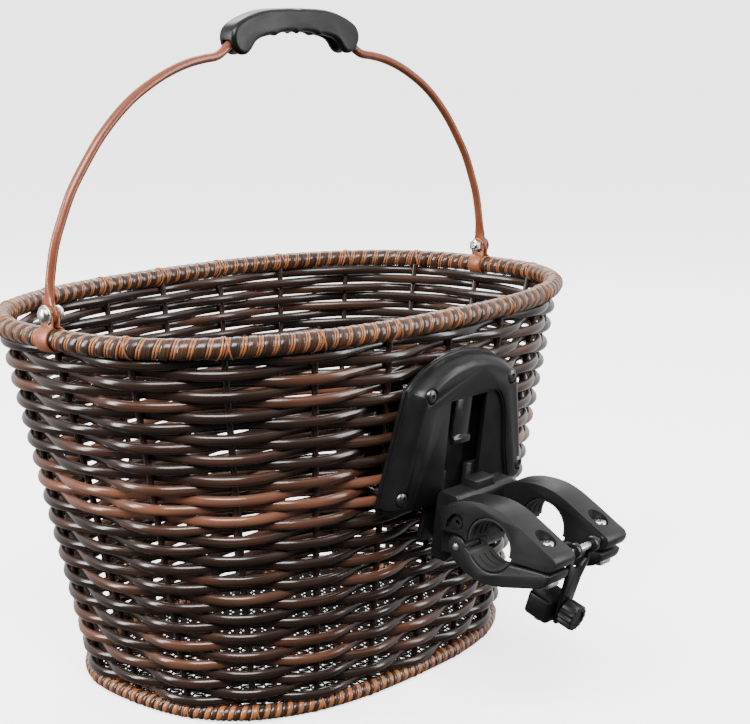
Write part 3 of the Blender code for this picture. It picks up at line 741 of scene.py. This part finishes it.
def grip_outline():
    back = [(0.0, 150.9), (18.0, 150.4), (28.0, 149.2), (37.0, 146.8), (45.0, 143.6), (49.6, 140.4),
            (51.6, 136.2), (51.2, 132.0), (49.0, 128.4), (45.0, 125.8), (40.5, 125.8), (37.0, 128.2),
            (33.5, 132.2), (29.0, 134.6)]
    right = curve_points(back)[:-1]
    for i in range(0, 24):
        x = 29.0 * (24 - i) / 24
        cusp = 1.0 - abs(math.sin(math.pi * x / GROOVE_PITCH))
        right.append((x, 138.0 - 0.0042 * x * x - 1.3 * cusp ** 2))
    right[0] = (0.0, 150.4)
    left = [(-x, z) for x, z in reversed(right) if x > 0.01]
    return right + [(0.0, 136.7)] + left


def make_grip():
    place = BASKET @ Matrix.Translation((0.0, 0.0, PIVOT_Z * MM))
    grip = prism("grip_shell", grip_outline(), -GRIP_T / 2.0, GRIP_T / 2.0, "Y", place, "grip")
    bevel(grip, 2.6, 5, 55.0)
    line = [(x, h + BAIL_R + 1.8) for x, h in BAIL_ARCH if x < 56.0]
    line = line + [(-x, h) for x, h in reversed(line) if x > 0.0]
    slot = line + [(-60.0, 100.0), (60.0, 100.0)]
    cut(grip, prism("rod_slot", slot, -BAIL_R - 0.4, BAIL_R + 0.4, "Y", place))
    settle(grip, "bail", ["grip"], 30.0)


def make_brackets():
    for side, tag in ((-1.0, "left"), (1.0, "right")):
        place = BASKET @ Matrix.Translation((side * RIM_HALF_X * MM, 0.0, 0.0))
        outer = circle(0.0, RIM_Z, 7.0, 40, 112.0, 428.0)
        inner = circle(0.0, RIM_Z, 5.9, 40, 428.0, 112.0)
        top = PIVOT_Z + 4.8
        strap = ([(1.5, RIM_Z + 5.8), (1.5, top), (2.7, top)] + list(reversed(outer))
                 + [(-2.7, top), (-1.5, top), (-1.5, RIM_Z + 5.8)] + list(reversed(inner)))
        bracket = prism("rim_strap_" + tag, strap, -4.6, 4.6, "Y", place, "hammered")
        trim = [(-9.0, RIM_Z + 8.0), (-4.7, PIVOT_Z - 1.0), (-4.5, PIVOT_Z + 1.8), (-3.2, PIVOT_Z + 3.9),
                (0.0, PIVOT_Z + 4.9)]
        trim = curve_points(trim, 5)
        profile = trim + flip(reversed(trim[:-1]))
        skirt = [(9.0, RIM_Z - 12.0), (-9.0, RIM_Z - 12.0)]
        keep = prism("ear_shape", profile + skirt, -12.0, 12.0, "X", place)
        combine(bracket, keep, "INTERSECT")
        cut(bracket, disc("bracket_hole", (0.0, PIVOT_Z), BOLT_R + 0.35, -6.0, 6.0, "X", place))
        bevel(bracket, 0.3, 2, 50.0)
        settle(bracket, "basket", ["rim_bracket_" + tag], 40.0)
        turn = (place @ Matrix.Translation((0.0, 0.0, PIVOT_Z * MM))
                @ Matrix.Rotation(side * math.pi / 2, 4, "Y"))
        head = ((0.0, -7.4), (1.5, -7.4), (BOLT_R, -6.9), (BOLT_R, 3.0), (5.0, 3.0), (5.1, 3.2), (5.0, 3.6),
                (4.3, 3.7), (4.2, 4.4), (3.5, 5.2), (2.4, 5.7), (1.0, 5.95), (0.0, 6.0))
        screw = turned("pivot_screw_" + tag, head, turn, "zinc")
        settle(screw, "basket", ["pivot_bolt_" + tag], 40.0)
        nut = prism("pivot_hex_" + tag, circle(0.0, 0.0, 4.2, 6), -6.2, -3.0, "Z", turn, "zinc")
        bevel(nut, 0.35, 2, 30.0)
        cut(nut, disc("nut_hole", (0.0, 0.0), BOLT_R + 0.3, -9.0, 0.0, "Z", turn))
        settle(nut, "basket", ["pivot_nut_" + tag], 40.0)


# ---- receptacle --------------------------------------------------------------------------------------
def make_receptacle():
    outer = [Vector(p) for p in mirrored(curve_points(HOUSING, 6))]
    inner = [Vector(p) for p in mirrored(curve_points(FACE_LINE, 6))]
    profile = [(0.0, BACK_OUT), (0.0, 7.5), (0.03, 7.9), (0.15, 8.0), (0.17, 8.5), (0.13, 8.9), (0.14, 9.8)]
    for k in range(1, 11):
        angle = math.radians(9.0 * k)
        profile.append((1.0 - 0.86 * math.cos(angle), 9.8 + (FACE_OUT - 9.8) * math.sin(angle)))
    bm = bmesh.new()
    made = []
    for share, out in profile:
        ring = [a.lerp(b, share) for a, b in zip(outer, inner)]
        made.append([bm.verts.new(Vector((p.x, -out, p.y)) * MM) for p in ring])
    for low, high in zip(made, made[1:]):
        for i in range(len(outer)):
            j = (i + 1) % len(outer)
            bm.faces.new((low[i], low[j], high[j], high[i]))
    bm.faces.new(made[0])
    bm.faces.new(made[-1])
    housing = add_object("receptacle_shell", bm, WALL, "plastic")
    slot = mirrored(((0.0, 167.4), (23.0, 167.4), (26.6, 128.0), (28.8, 104.0), (0.0, 104.0)))
    window = curve_points(RECESS, 5) + [(0.0, 100.0)]
    wide = [(x * 1.028, y + (0.9 if y > 150.0 else 0.0)) for x, y in window]
    cut(housing,
        prism("slot_cut", slot, -SLOT_DEEP[1], -SLOT_DEEP[0], "Y", WALL),
        box("neck_cut", (-15.6, 15.6), (-LIP[1] - 1.0, -LIP[0] + 0.8), (100.0, 166.6), WALL),
        prism("recess_cut", mirrored(window), -30.0, -LIP[1], "Y", WALL),
        prism("recess_lead", mirrored(wide), -30.0, -FACE_OUT + 0.7, "Y", WALL))
    for x, up in SCREW_SPOTS:
        cut(housing,
            disc("housing_hole", (x, up), 2.4, -25.0, 0.0, "Y", WALL),
            disc("housing_seat", (x, up), 4.3, -25.0, -16.6, "Y", WALL))
    bevel(housing, 0.35, 2, 50.0)
    settle(housing, "basket", ["receptacle_housing"], 34.0)
    keeper = ((11.4, 167.0), (11.4, 143.5), (12.2, 140.0), (14.9, 140.0), (14.9, 143.0), (13.4, 144.6),
              (13.4, 167.0))
    tab = prism("keeper_tab", flip(keeper), -7.2, 7.2, "X", WALL, "gloss")
    bevel(tab, 0.3, 2, 30.0)
    settle(tab, "basket", ["latch_keeper"])


def make_fixings():
    outline = ((0.0, 184.0), (22.0, 183.0), (38.0, 180.0), (43.0, 174.0), (58.0, 122.0), (58.5, 115.0),
               (54.0, 110.5), (0.0, 110.5))
    plate = prism("backing_plate", mirrored(outline), 7.6, 10.0, "Y", WALL, "plastic")
    bevel(plate, 0.9, 3, 60.0)
    window = ((0.0, 168.0), (22.0, 168.0), (33.0, 126.0), (0.0, 126.0))
    cut(plate, prism("plate_window", mirrored(window), 5.0, 12.0, "Y", WALL))
    for x, up in SCREW_SPOTS:
        cut(plate, disc("plate_hole", (x, up), 2.4, 5.0, 12.0, "Y", WALL))
    settle(plate, "basket", ["inner_plate"])
    for i, (x, up) in enumerate(SCREW_SPOTS):
        place = WALL @ Matrix.Translation((x * MM, 0.0, up * MM)) @ Matrix.Rotation(math.pi / 2, 4, "X")
        head = ((0.0, -14.6), (1.6, -14.6), (2.0, -14.2), (2.0, 17.0), (3.9, 17.0), (4.0, 17.3), (3.8, 17.9),
                (3.2, 18.5), (2.2, 18.85), (1.0, 19.0), (0.0, 19.0))
        # the screw heads take the zinc painted dark, a painted shade of their recessed seats
        screw = turned("fixing_screw_%d" % (i + 1), head, place, "zinc_painted_shade")
        cut(screw, prism("drive", circle(0.0, 0.0, 1.7, 6), 17.8, 21.0, "Z", place))
        settle(screw, "basket", ["mount_screw_%d" % (i + 1)])
        nut = prism("fixing_nut_%d" % (i + 1), circle(0.0, 0.0, 4.0, 6), -13.4, -10.3, "Z", place, "zinc")
        bevel(nut, 0.3, 2, 30.0)
        cut(nut, disc("fixing_nut_hole", (0.0, 0.0), 2.35, -16.0, -8.0, "Z", place))
        settle(nut, "basket", ["mount_nut_%d" % (i + 1)])


# ---- adapter -----------------------------------------------------------------------------------------
def upper_jaw_outline():
    arc = circle(0.0, 0.0, JAW_BORE_R, 48, -26.0, 188.0)
    return curve_points(UPPER_JAW) + arc + list(UPPER_ROOT)


def lower_jaw_outline():
    boss = circle(KNUCKLE[0], KNUCKLE[1], KNUCKLE_R, 32, 5.0, 235.0)
    arc = circle(0.0, 0.0, JAW_BORE_R, 32, -33.0, -155.0)
    return boss + curve_points(LOWER_JAW) + arc


def make_adapter_body():
    block = ((20.0, 84.0), (20.0, 117.0), (23.0, 121.0), (33.5, 121.0), (35.6, 118.0), (35.6, 97.0),
             (33.0, 86.0), (30.0, 82.0), (22.0, 82.0))
    body = prism("adapter_shell", flip(block), -25.0, 25.0, "X", WALL, "adapter")
    bevel(body, 1.35, 4, 28.0)
    neck = box("neck", (-14.0, 14.0), (-21.5, -TEE[0] - 0.8), (89.2, 99.0), WALL)
    notched = mirrored(((0.0, 99.5), (9.0, 99.5), (9.0, 126.0), (19.5, 126.0), (22.5, 123.0), (26.0, 90.0),
                        (24.0, 88.0), (0.0, 88.0)))
    tee = prism("tee", notched, -TEE[1], -TEE[0], "Y", WALL)
    bevel(tee, 0.7, 2, 60.0)
    join(body, tee, neck)
    for x in (-CLAMP_X, CLAMP_X):
        jaw = prism("upper_jaw", flip(upper_jaw_outline()), x - CLAMP_HALF, x + CLAMP_HALF, "X", CLAMP)
        bevel(jaw, 1.1, 3, 55.0)
        lug = circle(KNUCKLE[0], KNUCKLE[1], 5.6, 28, 90.0, -90.0) + [(-35.0, -10.6), (-35.0, 0.6)]
        join(body, jaw, prism("lug", flip(lug), x - 4.2, x + 4.2, "X", CLAMP))
    for x in (-CLAMP_X, CLAMP_X):
        seat = CLAMP @ Matrix.Translation((x * MM, -CLAMP_BOLT_A * MM, 0.0))
        inner = -1.0 if x > 0 else 1.0
        xs = sorted((x + inner * 5.0, x + inner * 12.0))
        cut(body,
            disc("bolt_bore", (0.0, 0.0), CLAMP_BOLT_R + 0.5, -12.0, 12.0, "Z", seat),
            disc("bolt_pocket", (0.0, 0.0), 5.3, 0.5, 22.0, "Z", seat),
            disc("lug_bore", (-KNUCKLE[0], KNUCKLE[1]), JAW_PIN_R + 0.3, x - 6.0, x + 6.0, "X", CLAMP),
            disc("brace_bore", (-BRACE_AT[0], BRACE_AT[1]), 2.3, xs[0], xs[1], "X", CLAMP))
    for side in (-1.0, 1.0):
        face = side * (CLAMP_X + CLAMP_HALF)
        xs = sorted((face - side * 2.2, face + side * 3.0))
        pocket = curve_points(SIDE_POCKET, 5)[:-1]
        cut(body, prism("side_pocket", flip(pocket), xs[0], xs[1], "X", CLAMP))
        rise = sorted((face - side * 2.6, face - side * 0.4))
        join(body, disc("side_boss", SIDE_BOSS, 2.9, rise[0], rise[1], "X", CLAMP))
        bored = sorted((face, face - side * 4.0))
        cut(body, disc("side_boss_hole", SIDE_BOSS, 1.3, bored[0], bored[1], "X", CLAMP))
    cut(body,
        box("button_pocket", (-8.6, 8.6), (-33.6, -23.4), (108.9, 130.0), WALL),
        box("pawl_slot", (-5.5, 5.5), (-34.2, -12.0), (103.8, 109.6), WALL))
    settle(body, "adapter", ["adapter_body"], 36.0)


def make_release():
    cap = box("button_cap", (-8.2, 8.2), (-33.2, -23.8), (113.0, 125.6), WALL, "adapter")
    bevel(cap, 1.3, 4, 30.0)
    settle(cap, "button", ["release_button"])
    pawl = ((15.2, 104.2), (29.6, 104.2), (29.6, 108.3), (18.2, 108.3), (15.2, 105.6))
    hook = prism("pawl_hook", flip(pawl), -5.1, 5.1, "X", WALL, "gloss")
    bevel(hook, 0.3, 2, 30.0)
    settle(hook, "pawl", ["latch_pawl"])


def arc_shell(start, stop, steps):
    return (circle(0.0, 0.0, SHIM_OUT_R, steps, start, stop)
            + circle(0.0, 0.0, SHIM_IN_R, steps, stop, start))


def make_clamps():
    for tag, x in (("front", -CLAMP_X), ("rear", CLAMP_X)):
        x0 = x - CLAMP_HALF
        x1 = x + CLAMP_HALF
        jaw = prism("jaw_" + tag, flip(lower_jaw_outline()), x0, x1, "X", CLAMP, "adapter")
        bevel(jaw, 1.1, 3, 55.0)
        seat = CLAMP @ Matrix.Translation((x * MM, -CLAMP_BOLT_A * MM, 0.0))
        cut(jaw,
            box("knuckle_slot", (x - 4.7, x + 4.7), (14.95, 40.0), (-12.6, 8.0), CLAMP),
            disc("knuckle_bore", (-KNUCKLE[0], KNUCKLE[1]), JAW_PIN_R + 0.3, x0 - 2.0, x1 + 2.0, "X", CLAMP),
            box("jaw_slot", (-2.9, 2.9), (-4.0, 2.9), (-30.0, 0.0), seat),
            box("nut_pocket", (-5.4, 5.4), (-5.4, 5.4), (-30.0, -14.0), seat))
        settle(jaw, "jaw_" + tag, ["lower_jaw_" + tag], 36.0)
        pin = prism("hinge_pin_" + tag, circle(-KNUCKLE[0], KNUCKLE[1], JAW_PIN_R, 32), x0 - 0.4, x1 + 0.4,
                    "X", CLAMP, "zinc")
        bevel(pin, 0.3, 2, 50.0)
        settle(pin, "adapter", ["jaw_pin_" + tag])
        for part, start, stop, steps, body in (("upper", -20.0, 180.0, 48, "adapter"),
                                               ("lower", -150.0, -37.0, 30, "jaw_" + tag)):
            shim = prism("pad_%s_%s" % (part, tag), flip(arc_shell(start, stop, steps)), x0 + 0.6, x1 - 0.6,
                         "X", CLAMP, "rubber")
            bevel(shim, 0.25, 2, 50.0)
            for k in range(3):
                groove = x0 + 4.2 + 4.8 * k
                middle = math.radians((start + stop) / 2.0)
                reach = math.radians((stop - start) / 2.0 - 9.0)
                arc = []
                for radius, order in ((SHIM_IN_R - 1.0, 1.0), (SHIM_IN_R + 0.5, -1.0)):
                    for j in range(25):
                        angle = middle + order * reach * (j / 12.0 - 1.0)
                        arc.append((radius * math.cos(angle), radius * math.sin(angle)))
                cut(shim, prism("pad_groove", flip(arc), groove - 0.5, groove + 0.5, "X", CLAMP))
            settle(shim, body, ["shim_%s_%s" % (part, tag)])
        head = ((0.0, -18.6), (1.9, -18.6), (CLAMP_BOLT_R, -18.1), (CLAMP_BOLT_R, 0.8), (4.4, 0.8),
                (4.4, 4.5), (4.1, 5.0), (3.7, 5.2), (0.0, 5.2))
        bolt = turned("cap_bolt_" + tag, head, seat, "zinc")
        cut(bolt, prism("socket", circle(0.0, 0.0, 2.2, 6), 2.6, 8.0, "Z", seat))
        settle(bolt, "bolt_" + tag, ["clamp_bolt_" + tag])
        nut = box("square_nut_" + tag, (-5.0, 5.0), (-5.0, 5.0), (-17.6, -14.3), seat, "zinc")
        bevel(nut, 0.6, 2, 30.0)
        cut(nut, box("square_nut_hole", (-2.8, 2.8), (-3.5, 2.8), (-20.0, -12.0), seat))
        settle(nut, "jaw_" + tag, ["clamp_nut_" + tag])


def make_brace():
    pin = prism("brace_axle", circle(-BRACE_AT[0], BRACE_AT[1], 2.0, 32), -18.4, 18.4, "X", CLAMP, "zinc")
    bevel(pin, 0.3, 2, 50.0)
    settle(pin, "adapter", ["brace_pin"])
    outline = ((0.0, -12.0), (3.0, -11.4), (6.0, -8.0), (6.0, 0.0), (10.0, 0.0), (10.0, -9.0), (7.0, -19.0),
               (5.6, -43.0), (3.6, -46.0), (0.0, -46.0))
    strap = prism("brace_fork", mirrored(outline), -1.1, 1.1, "Y", BRACE, "gloss")
    bevel(strap, 0.5, 2, 50.0)
    for side in (-1.0, 1.0):
        xs = sorted((side * 6.1, side * 9.9))
        knuckle = disc("strap_knuckle", (0.0, 0.0), 4.2, xs[0], xs[1], "X", BRACE)
        bevel(knuckle, 0.5, 2, 50.0)
        join(strap, knuckle)
    cut(strap,
        disc("strap_bore", (0.0, 0.0), 2.35, -14.0, 14.0, "X", BRACE),
        disc("strap_stud_hole", (0.0, -38.0), 2.4, -4.0, 4.0, "Y", BRACE))
    settle(strap, "brace", ["brace_strap"])
    block = box("brace_foot", (-10.0, 10.0), (1.6, 17.0), (-46.5, -32.5), BRACE, "plastic")
    bevel(block, 2.4, 5, 30.0)
    cut(block,
        disc("block_stud_hole", (0.0, -38.0), 2.4, -2.0, 11.0, "Y", BRACE),
        disc("block_screw_hole", (-4.0, 9.5), 1.95, -55.0, -42.5, "Z", BRACE))
    settle(block, "brace", ["brace_block"])
    place = BRACE @ Matrix.Translation((-4.0 * MM, 9.5 * MM, 0.0))
    dome = ((0.0, -49.0), (0.9, -48.95), (1.8, -48.7), (2.6, -48.2), (3.1, -47.6), (3.3, -46.9),
            (1.55, -46.9), (1.55, -43.0), (0.0, -43.0))
    settle(turned("dome_screw", dome, place, "zinc"), "brace", ["block_screw"])
    spin = BRACE @ Matrix.Translation((0.0, 0.0, -38.0 * MM)) @ Matrix.Rotation(math.pi / 2, 4, "X")
    lobes = []
    for i in range(84):
        angle = 2.0 * math.pi * i / 84
        radius = 7.0 + 0.4 * math.cos(14.0 * angle)
        lobes.append((radius * math.cos(angle), radius * math.sin(angle)))
    knob = prism("thumb_knob", lobes, 1.6, 10.4, "Z", spin, "adapter")
    bevel(knob, 0.8, 3, 60.0)
    cut(knob, disc("knob_dish", (0.0, 0.0), 4.6, 9.7, 12.0, "Z", spin))
    join(knob, disc("knob_stud", (0.0, 0.0), 2.0, -10.0, 4.0, "Z", spin))
    settle(knob, "knob", ["brace_knob"])


make_weave()
make_stakes()
wrapped_ring("wound_rim", RIM_HALF_X, RIM_HALF_Y, OVAL_POWER, RIM_Z, RIM_TUBE_R, WINDS, TOP_BANDS, "top_rim")
wrapped_ring("wound_base", BASE_HALF_X, BASE_HALF_Y, BASE_POWER, BASE_Z, BASE_TUBE_R - 0.35, WINDS,
             LOW_BANDS, "base_rim")
make_ties()
make_floor()
make_bail()
make_grip()
make_brackets()
make_receptacle()
make_fixings()
make_adapter_body()
make_release()
make_clamps()
make_brace()


# ---- camera, light and stage -------------------------------------------------------------------------
STAGE_R, STAGE_Z = 9.0, -0.0004    # metres
STAGE_GLOW, BACKDROP = 2.4, 3.2    # light given off by the floor, and the world as the camera sees it


def area_light(name, place, target, size, power):
    lamp = bpy.data.lights.new(name, "AREA")
    lamp.shape = "RECTANGLE"
    lamp.size, lamp.size_y = size
    lamp.energy = power
    obj = bpy.data.objects.new(name, lamp)
    bpy.context.scene.collection.objects.link(obj)
    obj.location = place
    obj.rotation_euler = (Vector(target) - Vector(place)).to_track_quat("-Z", "Y").to_euler()


def make_studio():
    """Camera at the photograph's viewing angle, pale floor, graded world and four soft lights."""
    cam = bpy.data.cameras.new("camera")
    cam.lens = 78.8
    cam.sensor_width = 36.0
    obj = bpy.data.objects.new("camera", cam)
    bpy.context.scene.collection.objects.link(obj)
    right = Vector((0.65212, -0.75811, -0.00195))
    up = Vector((0.15099, 0.12735, 0.98030))
    back = Vector((-0.74292, -0.63957, 0.19751))
    turn = Matrix((right, up, back)).transposed().to_4x4()
    obj.matrix_world = Matrix.Translation((-0.68232, -0.60580, 0.35926)) @ turn
    bpy.context.scene.camera = obj

    floor = bpy.data.meshes.new("floor")
    rim = [(STAGE_R * math.cos(2.0 * math.pi * i / 96), STAGE_R * math.sin(2.0 * math.pi * i / 96), STAGE_Z)
           for i in range(96)]
    floor.from_pydata(rim, [], [tuple(range(96))])
    mat, tree, shader = new_material("floor_paper", (0.86, 0.86, 0.86), 0.9, gloss=0.2)
    shader.inputs["Emission Color"].default_value = (1.0, 1.0, 1.0, 1.0)
    shader.inputs["Emission Strength"].default_value = STAGE_GLOW
    paper = noise(tree, object_coords(tree), 12.0, 2.0)
    tone = blend_colours(tree, paper, (0.87, 0.87, 0.87), (0.9, 0.9, 0.9))
    tree.links.new(tone, shader.inputs["Base Color"])
    floor.materials.append(mat)
    stage = bpy.data.objects.new("floor", floor)
    bpy.context.scene.collection.objects.link(stage)
    stage.visible_glossy = False
    stage.visible_diffuse = False

    world = bpy.data.worlds.new("studio")
    world.use_nodes = True
    tree = world.node_tree
    sky = tree.nodes.new("ShaderNodeTexCoord").outputs["Generated"]
    dot = tree.nodes.new("ShaderNodeVectorMath")
    dot.operation = "DOT_PRODUCT"
    dot.inputs[1].default_value = (0.55, 0.47, 0.69)
    tree.links.new(sky, dot.inputs[0])
    around = span(tree, dot.outputs["Value"], -0.4, 0.75, 0.1, 1.3)
    seen = tree.nodes.new("ShaderNodeLightPath").outputs["Is Camera Ray"]
    tree.links.new(span(tree, seen, 0.0, 1.0, around, BACKDROP), tree.nodes["Background"].inputs["Strength"])
    tree.nodes["Background"].inputs["Color"].default_value = (1.0, 1.0, 1.0, 1.0)
    bpy.context.scene.world = world
    area_light("overhead_box", (-0.95, -0.75, 1.45), (0.0, 0.0, 0.1), (1.3, 0.8), 72.0)
    area_light("left_strip", (-1.2, 0.75, 0.6), (0.0, 0.0, 0.12), (0.3, 1.1), 30.0)
    area_light("right_strip", (0.75, -0.95, 0.5), (0.0, 0.0, 0.12), (0.25, 1.1), 12.0)
    area_light("back_box", (0.9, 0.9, 1.3), (0.0, 0.0, 0.05), (1.2, 0.6), 22.0)


make_studio()
